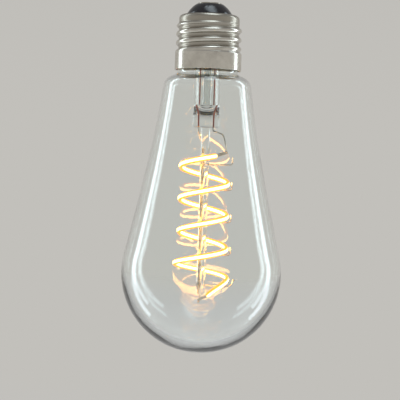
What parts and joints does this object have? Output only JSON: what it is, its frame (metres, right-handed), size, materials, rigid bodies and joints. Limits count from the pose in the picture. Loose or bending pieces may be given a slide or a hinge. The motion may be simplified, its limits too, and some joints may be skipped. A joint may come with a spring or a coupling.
{
  "type": "led filament lamp",
  "caption": "Clear pear-shaped LED filament lamp with a glass stem, one coiled glowing filament and a screw cap, hanging cap up.",
  "frame": {"origin": "centre of the tip contact's face, at the top of the cap", "axes": "+Z along the lamp's axis, out of the cap; the glass hangs along -Z; -Y is the side the picture shows, +X is right in the picture"},
  "size_m": [0.064, 0.064, 0.14],
  "materials": {
    "clear_glass": "clear blown soda-lime glass, fire-polished",
    "phosphor_silicone": "yellow-orange phosphor in soft silicone, glowing",
    "carrier_strip": "flexible polyimide strip with copper tracks",
    "led_chips": "bare sapphire chips",
    "nickel_wire": "drawn nickel-plated wire",
    "dumet_wire": "copper-clad seal wire",
    "nickel_shell": "pressed sheet brass, bright nickel plate",
    "black_glass": "pressed black glass",
    "solder": "soft solder",
    "cement": "baked basing cement",
    "white_plastic": "moulded white plastic",
    "board": "glass-epoxy laminate with green mask",
    "black_resin": "moulded black epoxy",
    "can_sleeve": "shrunk plastic sleeve over an aluminium can",
    "resistor_coat": "flameproof coat",
    "fibre_sleeve": "braided glass fibre",
    "wire_insulation": "extruded insulation"
  },
  "bodies": {
    "root": {"glass_envelope": "clear_glass", "stem_tube": "clear_glass", "exhaust_tube": "clear_glass", "stem_press": "clear_glass", "pillar_rod": "clear_glass", "filament_strip": "carrier_strip", "filament_chips": "led_chips", "filament_coat_front": "phosphor_silicone", "filament_coat_back": "phosphor_silicone", "filament_tab_top": "nickel_wire", "filament_tab_bottom": "nickel_wire", "upper_lead": "nickel_wire", "return_lead": "nickel_wire", "seal_wires": "dumet_wire", "outer_leads": "dumet_wire", "screw_shell": "nickel_shell", "cap_insulator": "black_glass", "tip_contact": "nickel_shell", "tip_solder": "solder", "basing_cement": "cement", "driver_sleeve": "white_plastic", "driver_board": "board", "bridge_rectifier": "black_resin", "driver_chip": "black_resin", "smoothing_capacitor": "can_sleeve", "fusible_resistor": "resistor_coat", "chip_resistors": "black_resin", "board_solder": "solder", "tip_wire": "nickel_wire", "tip_wire_sleeve": "fibre_sleeve", "side_wire": "wire_insulation", "side_solder": "solder", "support_hook_1": "nickel_wire", "support_hook_2": "nickel_wire", "support_hook_3": "nickel_wire", "support_hook_4": "nickel_wire", "support_hook_5": "nickel_wire"}
  },
  "joints": []
}
